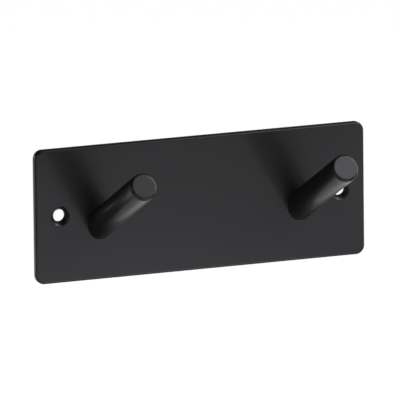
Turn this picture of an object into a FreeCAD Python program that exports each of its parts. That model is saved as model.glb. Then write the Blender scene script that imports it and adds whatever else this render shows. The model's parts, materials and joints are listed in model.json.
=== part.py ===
# Double robe hook: a wall plate with two slanted round pegs, in millimetres
import FreeCAD, Part
import math
import os

# Frame: the origin is the centre of the plate's wall face, +Z is up,
# +X is to the right of someone facing the hook, and the pegs stand out towards -Y.

# Wall plate
plate_length = 125.0
plate_height = 48.0
plate_thickness = 2.5
corner_radius = 3.2
front_edge_radius = 0.8

# Countersunk screw holes, one at each end of the plate
screw_hole_diameter = 4.5
countersink_diameter = 7.2
countersink_angle = 90.0
screw_hole_inset = 9.3

# Pegs, measured along the bar from the middle of its foot
peg_diameter = 10.0
peg_length = 46.5
peg_tilt = 27.0
peg_to_screw_hole = 15.2
peg_foot_drop = 4.0
peg_tip_radius = 1.0

# Places worked out from the sizes above
screw_hole_x = plate_length / 2 - screw_hole_inset
peg_x = screw_hole_x - peg_to_screw_hole
front_face_y = -plate_thickness

# A cutting tool passes this far beyond the surfaces it cuts
overcut = 1.0


def edges_along(solid, direction):
    """Straight edges that run along a direction."""
    found = []
    for edge in solid.Edges:
        if isinstance(edge.Curve, Part.Line) and edge.tangentAt(edge.FirstParameter).cross(direction).Length < 1e-6:
            found.append(edge)
    return found


def edges_at_y(solid, y):
    """Edges that lie in the plane at one depth."""
    return [edge for edge in solid.Edges if abs(edge.BoundBox.YMin - y) < 1e-4 and abs(edge.BoundBox.YMax - y) < 1e-4]


def screw_hole(x):
    """Through hole with a cone for a flat screw head, opening towards the room."""
    towards_wall = FreeCAD.Vector(0, 1, 0)
    hole_radius = screw_hole_diameter / 2
    head_radius = countersink_diameter / 2
    slope = math.tan(math.radians(countersink_angle / 2))
    cone_depth = (head_radius - hole_radius) / slope
    shank = Part.makeCylinder(
        hole_radius,
        plate_thickness + 2 * overcut,
        FreeCAD.Vector(x, front_face_y - overcut, 0),
        towards_wall,
    )
    cone = Part.makeCone(
        head_radius + overcut * slope,
        hole_radius,
        cone_depth + overcut,
        FreeCAD.Vector(x, front_face_y - overcut, 0),
        towards_wall,
    )
    return shank.fuse(cone)


def back_plate():
    """Flat plate with rounded corners, an eased front edge and two countersunk holes."""
    blank = Part.makeBox(
        plate_length,
        plate_thickness,
        plate_height,
        FreeCAD.Vector(-plate_length / 2, front_face_y, -plate_height / 2),
    )
    rounded = blank.makeFillet(corner_radius, edges_along(blank, FreeCAD.Vector(0, 1, 0)))
    eased = rounded.makeFillet(front_edge_radius, edges_at_y(rounded, front_face_y))
    return eased.cut([screw_hole(-screw_hole_x), screw_hole(screw_hole_x)])


def peg(x):
    """Round bar that rises away from the plate, its foot cut to lie flat on the front face."""
    tilt = math.radians(peg_tilt)
    radius = peg_diameter / 2
    along = FreeCAD.Vector(0, -math.cos(tilt), math.sin(tilt))
    foot = FreeCAD.Vector(x, front_face_y, -peg_foot_drop)
    heel = radius * math.tan(tilt) + overcut
    bar = Part.makeCylinder(radius, peg_length + heel, foot - along * heel, along)
    tip = foot + along * peg_length
    tip_edges = [edge for edge in bar.Edges if (edge.BoundBox.Center - tip).Length < 1e-4]
    bar = bar.makeFillet(peg_tip_radius, tip_edges)
    behind_face = Part.makeBox(
        2 * peg_diameter,
        2 * (heel + peg_diameter),
        4 * peg_diameter + 2 * heel,
        FreeCAD.Vector(x - peg_diameter, front_face_y, -peg_foot_drop - 2 * peg_diameter - heel),
    )
    return bar.cut(behind_face)


def write_parts():
    """Write each piece to its own file."""
    pieces = {
        "back_plate": back_plate(),
        "left_peg": peg(-peg_x),
        "right_peg": peg(peg_x),
    }
    os.makedirs("parts", exist_ok=True)
    for name, shape in pieces.items():
        shape.exportStep("parts/" + name + ".step")
        print(name, "valid", shape.isValid(), "solids", len(shape.Solids), "volume", round(shape.Volume, 2))


write_parts()
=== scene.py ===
import json
import math
import bmesh
import bpy
from mathutils import Matrix, Vector


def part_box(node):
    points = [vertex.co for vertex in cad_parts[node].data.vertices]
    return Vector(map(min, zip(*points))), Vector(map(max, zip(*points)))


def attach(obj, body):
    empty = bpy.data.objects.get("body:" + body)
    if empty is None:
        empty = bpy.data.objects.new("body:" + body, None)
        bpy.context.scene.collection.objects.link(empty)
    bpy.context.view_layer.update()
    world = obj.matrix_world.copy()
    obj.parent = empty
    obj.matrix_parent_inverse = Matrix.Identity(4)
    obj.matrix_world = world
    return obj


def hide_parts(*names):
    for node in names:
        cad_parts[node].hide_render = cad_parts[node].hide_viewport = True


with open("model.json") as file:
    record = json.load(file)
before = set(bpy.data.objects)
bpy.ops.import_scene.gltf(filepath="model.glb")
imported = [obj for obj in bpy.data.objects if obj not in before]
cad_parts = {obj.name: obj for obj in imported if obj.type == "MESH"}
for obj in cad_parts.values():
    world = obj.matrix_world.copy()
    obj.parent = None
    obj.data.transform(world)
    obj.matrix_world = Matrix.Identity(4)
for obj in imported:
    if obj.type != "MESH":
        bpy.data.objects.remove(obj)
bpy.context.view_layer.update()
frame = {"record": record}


# Back plate
# A flat steel sheet, laser cut and tumbled so that its corners and front edge are eased,
# drilled and countersunk for a screw at each end. The wall side is flat.
# It is sprayed with powder after the pegs are welded on, and baked.
# Two points that are closer than a hair count as one.
mm = 0.001
hair = 0.0001 * mm


def mount(name):
    """One entry of the record's list of mounts."""
    return next(m for m in frame["record"]["mounts"] if m["name"] == name)


plate_low, plate_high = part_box("back_plate")
front_y = plate_low.y
wall_y = plate_high.y
corner_radius = 3.2 * mm
corner_steps = 16
front_edge_radius = 0.8 * mm
front_edge_steps = 8
wall_edge_radius = 0.2 * mm
wall_edge_steps = 3

# The film of powder narrows the holes and their cones, and eases their rims by as much.
# A narrow flat loop beside each eased edge keeps the shading flat on the flat faces.
film = 0.08 * mm
film_ease = 0.08 * mm
film_ease_middle = 0.3 * film_ease
flat_margin = 0.06 * mm

screws = mount("wall_screws")["dims"]
screw_spacing = screws["spacing_x_mm"] * mm
hole_radius = screws["hole_r_mm"] * mm - film
hole_sides = 96
countersink_radius = 3.6 * mm - film
countersink_depth = countersink_radius - hole_radius
crease_angle = math.radians(32)


def finished(name, bm, material):
    """A shown piece from a bmesh: smooth faces, with creases kept where the real edge is crisp."""
    bmesh.ops.remove_doubles(bm, verts=bm.verts, dist=hair)
    bmesh.ops.recalc_face_normals(bm, faces=bm.faces)
    for face in bm.faces:
        face.smooth = True
    for edge in bm.edges:
        edge.smooth = edge.is_manifold and edge.calc_face_angle() < crease_angle
    mesh = bpy.data.meshes.new(name)
    bm.to_mesh(mesh)
    bm.free()
    piece = bpy.data.objects.new(name, mesh)
    bpy.context.scene.collection.objects.link(piece)
    mesh.materials.append(material)
    return piece


def linear(code):
    """sRGB hex to the linear colour that a shader takes."""
    parts = [int(code[i : i + 2], 16) / 255 for i in (1, 3, 5)]
    return [c / 12.92 if c <= 0.04045 else ((c + 0.055) / 1.055) ** 2.4 for c in parts] + [1.0]


def add(tree, kind, settings=None, links=None):
    """One shader node with its settings and the links that feed it."""
    node = tree.nodes.new(kind)
    for key, value in (settings or {}).items():
        if key in node.inputs:
            node.inputs[key].default_value = value
        else:
            setattr(node, key, value)
    for key, source in (links or {}).items():
        tree.links.new(source, node.inputs[key])
    return node


def satin_black_powder_coat():
    """Satin black polyester powder on steel, baked: a deep black under a soft wide gloss,
    with a thin sharper one on it. The film flows out almost level, so only a faint orange
    peel and a slight change of gloss from place to place tell it from plastic.
    The powder's own grain, 0.04 mm, is too fine to show, so it is drawn as coarse as a grit
    of 0.25 mm, and very shallow."""
    peel_width = 1.1 * mm
    peel_height = 0.01 * mm
    grit_width = 0.25 * mm
    grit_height = 0.004 * mm
    gloss_patch = 9.0 * mm
    glossiest, dullest = 0.40, 0.44
    darkest, lightest = linear("#030303"), linear("#050505")
    noise_low, noise_high = 0.3, 0.7
    material = bpy.data.materials.new("satin_black_powder_coat")
    material.use_nodes = True
    tree = material.node_tree
    tree.nodes.clear()
    place = add(tree, "ShaderNodeTexCoord").outputs["Object"]
    peel = add(tree, "ShaderNodeTexNoise", {"Scale": 1 / peel_width, "Detail": 2.0}, {"Vector": place})
    grit = add(tree, "ShaderNodeTexNoise", {"Scale": 1 / grit_width, "Detail": 1.0}, {"Vector": place})
    patch = add(tree, "ShaderNodeTexNoise", {"Scale": 1 / gloss_patch, "Detail": 3.0}, {"Vector": place})
    gloss = add(
        tree,
        "ShaderNodeMapRange",
        {"From Min": noise_low, "From Max": noise_high, "To Min": glossiest, "To Max": dullest},
        {"Value": patch.outputs["Fac"]},
    )
    shade = add(tree, "ShaderNodeValToRGB", {}, {"Fac": grit.outputs["Fac"]})
    ends = zip(shade.color_ramp.elements, (noise_low, noise_high), (darkest, lightest))
    for end, position, colour in ends:
        end.position = position
        end.color = colour
    waves = add(
        tree,
        "ShaderNodeBump",
        {"Strength": 0.12, "Distance": peel_height},
        {"Height": peel.outputs["Fac"]},
    )
    tooth = add(
        tree,
        "ShaderNodeBump",
        {"Strength": 0.10, "Distance": grit_height},
        {"Height": grit.outputs["Fac"], "Normal": waves.outputs["Normal"]},
    )
    surface = add(
        tree,
        "ShaderNodeBsdfPrincipled",
        {"IOR": 1.5, "Metallic": 0.0, "Coat Weight": 0.18, "Coat Roughness": 0.12},
        {
            "Base Color": shade.outputs["Color"],
            "Roughness": gloss.outputs["Result"],
            "Normal": tooth.outputs["Normal"],
        },
    )
    add(tree, "ShaderNodeOutputMaterial", {}, {"Surface": surface.outputs["BSDF"]})
    return material


def ring(bm, x, radius, y):
    """A circle of edges round a screw hole's axis at one depth."""
    verts = bmesh.ops.create_circle(bm, cap_ends=False, segments=hole_sides, radius=radius)["verts"]
    stood_up = Matrix.Rotation(math.radians(90), 3, "X")
    bmesh.ops.rotate(bm, verts=verts, cent=(0, 0, 0), matrix=stood_up)
    bmesh.ops.translate(bm, verts=verts, vec=(x, y, 0))
    return list(dict.fromkeys(edge for vert in verts for edge in vert.link_edges))


def drilled(bm, x):
    """The wall of one countersunk hole. Returns its open rims, front and back."""
    steps = [
        (countersink_radius + film_ease + flat_margin, front_y),
        (countersink_radius + film_ease, front_y),
        (countersink_radius + film_ease_middle, front_y + film_ease_middle),
        (countersink_radius - film_ease, front_y + film_ease),
        (hole_radius + film_ease, front_y + countersink_depth - film_ease),
        (hole_radius, front_y + countersink_depth + film_ease),
        (hole_radius, wall_y - film_ease),
        (hole_radius + film_ease, wall_y),
        (hole_radius + film_ease + flat_margin, wall_y),
    ]
    rims = [ring(bm, x, radius, y) for radius, y in steps]
    for near, far in zip(rims, rims[1:]):
        bmesh.ops.bridge_loops(bm, edges=near + far)
    return rims[0], rims[-1]


def all_at(verts, axis, value):
    """Whether every one of some points lies in one plane square to an axis."""
    return all(abs(getattr(vert.co, axis) - value) < hair for vert in verts)


def outline_at(bm, y):
    """Edges of the flat face at one depth, a hair inside its rim, and the face itself taken away."""
    flat_faces = [face for face in bm.faces if all_at(face.verts, "y", y)]
    face = max(flat_faces, key=lambda f: f.calc_area())
    bmesh.ops.inset_region(bm, faces=[face], thickness=flat_margin, use_even_offset=True)
    edges = list(face.edges)
    bmesh.ops.delete(bm, geom=[face], context="FACES_ONLY")
    return edges


def rounded(bm, edges, radius, steps):
    """Edges turned to a round of one radius."""
    bmesh.ops.bevel(
        bm,
        geom=edges,
        offset=radius,
        offset_type="OFFSET",
        segments=steps,
        profile=0.5,
        affect="EDGES",
        material=-1,
    )


def edges_lying_at(bm, axis, value):
    """Edges that lie in one plane square to an axis."""
    return [edge for edge in bm.edges if all_at(edge.verts, axis, value)]


sheet = bmesh.new()
bmesh.ops.create_cube(sheet, size=1.0)
bmesh.ops.scale(sheet, verts=sheet.verts, vec=plate_high - plate_low)
bmesh.ops.translate(sheet, verts=sheet.verts, vec=(plate_low + plate_high) / 2)
corners = [e for e in sheet.edges if abs(e.verts[0].co.y - e.verts[1].co.y) > hair]
rounded(sheet, corners, corner_radius, corner_steps)
rounded(sheet, edges_lying_at(sheet, "y", front_y), front_edge_radius, front_edge_steps)
rounded(sheet, edges_lying_at(sheet, "y", wall_y), wall_edge_radius, wall_edge_steps)
front_rims = outline_at(sheet, front_y)
wall_rims = outline_at(sheet, wall_y)
for x in (-screw_spacing / 2, screw_spacing / 2):
    front_rim, wall_rim = drilled(sheet, x)
    front_rims += front_rim
    wall_rims += wall_rim
for rims in (front_rims, wall_rims):
    bmesh.ops.triangle_fill(sheet, edges=rims, use_beauty=True)
powder_coat = satin_black_powder_coat()
plate = finished("back_plate_sheet", sheet, powder_coat)
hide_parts("back_plate")
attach(plate, "root")


# Pegs
# Lengths of round steel bar, their tips turned square with an eased edge and their feet
# sawn at a slant, so that they rise out of the plate. Each is welded from behind the plate,
# and the powder gathers into a thin fillet where its foot meets the face.
peg_bar = mount("right_peg_bar")
peg_radius = peg_bar["dims"]["r_mm"] * mm
peg_sides = 128
peg_direction = Vector(peg_bar["axis"]).normalized()
peg_tip_radius = 1.0 * mm
peg_tip_steps = 8
foot_fillet = 0.12 * mm
fillet_steps = 4
saw_tolerance = 1e-9
along_bar = Vector((0, 0, 1))
into_wall = Vector((0, 1, 0))


def cut_round(bm, at, facing, drop_beyond=False):
    """A ring of edges where a plane meets the bar; beyond the last one the bar is taken away."""
    bmesh.ops.bisect_plane(
        bm,
        geom=[*bm.verts, *bm.edges, *bm.faces],
        plane_co=at,
        plane_no=facing,
        clear_outer=drop_beyond,
        dist=saw_tolerance,
    )


def fillet_rings():
    """Depth and spread of each ring of the powder's fillet, from the bar's side to the plate."""
    rings = []
    for step in range(fillet_steps + 1):
        turn = math.radians(90) * step / fillet_steps
        depth = front_y - foot_fillet * (1 - math.sin(turn))
        spread = foot_fillet * (1 - math.cos(turn))
        rings.append((depth, spread))
    return rings


def slanted_bar(tip):
    """Round bar from its tip back to the plate's front face. It is turned upright, tip up
    at the origin, then laid over to its slant and sawn off at the plate."""
    bm = bmesh.new()
    run = (front_y - tip.y) / -peg_direction.y
    spare = 2 * peg_radius
    bmesh.ops.create_cone(
        bm,
        cap_ends=True,
        cap_tris=False,
        segments=peg_sides,
        radius1=peg_radius,
        radius2=peg_radius,
        depth=run + spare,
    )
    bmesh.ops.translate(bm, verts=bm.verts, vec=along_bar * -(run + spare) / 2)
    rounded(bm, edges_lying_at(bm, "z", 0), peg_tip_radius, peg_tip_steps)
    tip_face = next(face for face in bm.faces if all_at(face.verts, "z", 0))
    bmesh.ops.inset_region(bm, faces=[tip_face], thickness=flat_margin, use_even_offset=True)
    cut_round(bm, along_bar * -(peg_tip_radius + flat_margin), along_bar)
    slant = along_bar.rotation_difference(peg_direction).to_matrix()
    bmesh.ops.rotate(bm, verts=bm.verts, cent=(0, 0, 0), matrix=slant)
    bmesh.ops.translate(bm, verts=bm.verts, vec=tip)
    foot = tip - peg_direction * run
    cut_round(bm, into_wall * (front_y - foot_fillet - flat_margin), into_wall)
    rings = fillet_rings()
    for depth, spread in rings:
        cut_round(bm, into_wall * depth, into_wall, depth == rings[-1][0])
    for depth, spread in rings[1:]:
        centre = foot + peg_direction * ((front_y - depth) / -peg_direction.y)
        around = [vert for vert in bm.verts if all_at([vert], "y", depth)]
        wider = 1 + spread / peg_radius
        bmesh.ops.scale(bm, verts=around, vec=(wider, 1, wider), space=Matrix.Translation(-centre))
    bmesh.ops.holes_fill(bm, edges=[edge for edge in bm.edges if edge.is_boundary])
    return bm


for side in ("left", "right"):
    tip = Vector(mount(side + "_peg_bar")["pos_m"])
    peg = finished(side + "_peg_bar", slanted_bar(tip), powder_coat)
    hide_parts(side + "_peg")
    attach(peg, "root")


# Stage
# A pale matt floor well below the hook, which hangs in the air as it would on a wall,
# in an even white room. Neither shows in the coating's gloss: all of that comes from
# the soft boxes, so the object stays as dark as a black coating is in a studio.
floor_drop = 0.30
floor_half_width = 12.0
floor_roughness = 0.9
room_brightness = 1.15

floor_grid = bmesh.new()
bmesh.ops.create_grid(floor_grid, x_segments=1, y_segments=1, size=floor_half_width)
bmesh.ops.translate(floor_grid, verts=floor_grid.verts, vec=(0, 0, plate_low.z - floor_drop))
floor_mesh = bpy.data.meshes.new("floor")
floor_grid.to_mesh(floor_mesh)
floor_grid.free()
floor = bpy.data.objects.new("floor", floor_mesh)
bpy.context.scene.collection.objects.link(floor)
pale = bpy.data.materials.new("pale_floor")
pale.use_nodes = True
pale_surface = pale.node_tree.nodes["Principled BSDF"]
pale_surface.inputs["Base Color"].default_value = linear("#f4f4f4")
pale_surface.inputs["Roughness"].default_value = floor_roughness
floor_mesh.materials.append(pale)
floor.visible_glossy = False

world = bpy.data.worlds.new("soft_room")
bpy.context.scene.world = world
world.use_nodes = True
room = world.node_tree.nodes["Background"]
room.inputs["Color"].default_value = linear("#ffffff")
room.inputs["Strength"].default_value = room_brightness
world.cycles_visibility.glossy = False
bpy.context.scene.view_settings.view_transform = "Standard"


# Soft boxes
# Flat studio lamps all round the hook, facing it, which the camera doesn't see. A row gives
# the way from the hook to the lamp, its distance, width and height in metres, how bright
# its face is on the room's scale, and its tint. The nearest ones shade the plate softly.
cool = (0.975, 0.975, 1.04)
neutral = (1.0, 1.0, 1.0)
soft_boxes = [
    # In front and low: these light the plate's face, round the pegs' dark mirror images
    ("near_left", (-0.61, -0.76, -0.23), 0.263, 0.12, 0.12, 0.85, cool),
    ("front_right", (0.47, -0.81, -0.34), 0.450, 0.30, 0.30, 0.38, cool),
    ("front_middle", (0.16, -0.93, -0.34), 0.450, 0.30, 0.30, 0.54, cool),
    ("front_left", (-0.16, -0.93, -0.34), 0.450, 0.30, 0.30, 0.38, cool),
    ("front_low_right", (0.38, -0.66, -0.64), 0.450, 0.30, 0.30, 0.71, cool),
    ("close_low_left", (-0.79, -0.44, -0.44), 0.114, 0.04, 0.04, 1.19, cool),
    ("close_low", (0.00, -0.62, -0.78), 0.096, 0.14, 0.03, 0.85, cool),
    ("close_under", (0.36, -0.60, -0.72), 0.084, 0.10, 0.02, 0.82, cool),
    ("close_right", (0.89, -0.45, -0.09), 0.112, 0.03, 0.05, 1.02, cool),
    # High and to the right: these light the pegs' tips, with a brighter rim, and their right sides
    ("tips", (0.37, -0.70, 0.61), 0.800, 0.35, 0.35, 0.80, cool),
    ("tips_near", (0.45, -0.65, 0.61), 0.300, 0.15, 0.15, 1.70, cool),
    ("tips_right", (0.68, -0.38, 0.62), 0.800, 0.25, 0.25, 8.07, neutral),
    ("tips_over", (0.66, 0.00, 0.75), 0.800, 0.20, 0.20, 1.02, neutral),
    ("right_high", (0.75, -0.25, 0.61), 0.800, 0.25, 0.25, 1.27, neutral),
    ("right_low", (0.99, -0.10, 0.10), 0.800, 0.30, 0.30, 5.18, neutral),
    # Behind: these light the plate's eased edges, the pegs' undersides and the wall side
    ("right_behind", (0.82, 0.51, 0.26), 0.800, 0.30, 0.30, 0.26, neutral),
    ("left_behind", (-0.76, 0.60, -0.25), 0.800, 0.25, 0.25, 0.17, neutral),
    ("left_low_behind", (-0.55, 0.70, -0.45), 0.800, 0.25, 0.25, 0.42, neutral),
    ("corner", (-0.41, 0.91, 0.04), 0.800, 0.12, 0.12, 3.40, neutral),
    ("behind_high", (0.00, 0.60, 0.80), 1.200, 0.90, 0.60, 0.30, neutral),
    ("behind_under", (0.10, 0.62, -0.78), 0.350, 0.50, 0.30, 0.43, neutral),
    ("behind_low_right", (0.40, 0.70, -0.60), 0.350, 0.30, 0.30, 0.77, neutral),
    ("behind_low_left", (-0.36, 0.66, -0.66), 0.300, 0.20, 0.20, 0.21, neutral),
    ("left_rim", (-0.92, 0.37, -0.10), 0.800, 0.10, 0.35, 5.10, neutral),
    ("back_card", (0.15, 0.94, -0.30), 1.000, 1.80, 1.00, 0.64, neutral),
    # In front and high: a weak fill for views from the right
    ("front_fill_left", (-0.66, -0.68, 0.32), 1.000, 0.60, 0.60, 0.51, neutral),
]
for name, toward, distance, width, height, brightness, tint in soft_boxes:
    lamp = bpy.data.lights.new(name, "AREA")
    lamp.shape = "RECTANGLE"
    lamp.size = width
    lamp.size_y = height
    lamp.energy = math.pi * width * height * brightness
    lamp.color = tint
    soft_box = bpy.data.objects.new(name, lamp)
    bpy.context.scene.collection.objects.link(soft_box)
    outward = Vector(toward).normalized()
    turn = outward.to_track_quat("Z", "Y").to_matrix().to_4x4()
    soft_box.matrix_world = Matrix.Translation(outward * distance) @ turn
    soft_box.visible_camera = False


# Camera
# A long lens 4 m away, to the left of the hook and a little above it, aimed at its middle
# and tipped a trace, as the photograph was taken. From so far, edges stay nearly parallel.
camera_distance = 4.0
camera_left = math.radians(21.99)
camera_above = math.radians(11.85)
camera_roll = math.radians(-0.64)
camera_aim = Vector((0.00062, 0, 0.00054))
image_width = 400
focal_pixels = 11345.0
sensor_width = 36.0
sight_limit = 60.0

back = Vector(
    (
        -math.sin(camera_left) * math.cos(camera_above),
        -math.cos(camera_left) * math.cos(camera_above),
        math.sin(camera_above),
    )
)
level = Vector((math.cos(camera_left), -math.sin(camera_left), 0))
upright = back.cross(level)
right = level * math.cos(camera_roll) + upright * math.sin(camera_roll)
up = back.cross(right)
camera_data = bpy.data.cameras.new("camera")
camera_data.sensor_width = sensor_width
camera_data.lens = focal_pixels * sensor_width / image_width
camera_data.clip_end = sight_limit
camera = bpy.data.objects.new("camera", camera_data)
bpy.context.scene.collection.objects.link(camera)
camera_turn = Matrix((right, up, back)).transposed().to_4x4()
camera.matrix_world = Matrix.Translation(camera_aim + back * camera_distance) @ camera_turn
bpy.context.scene.camera = camera
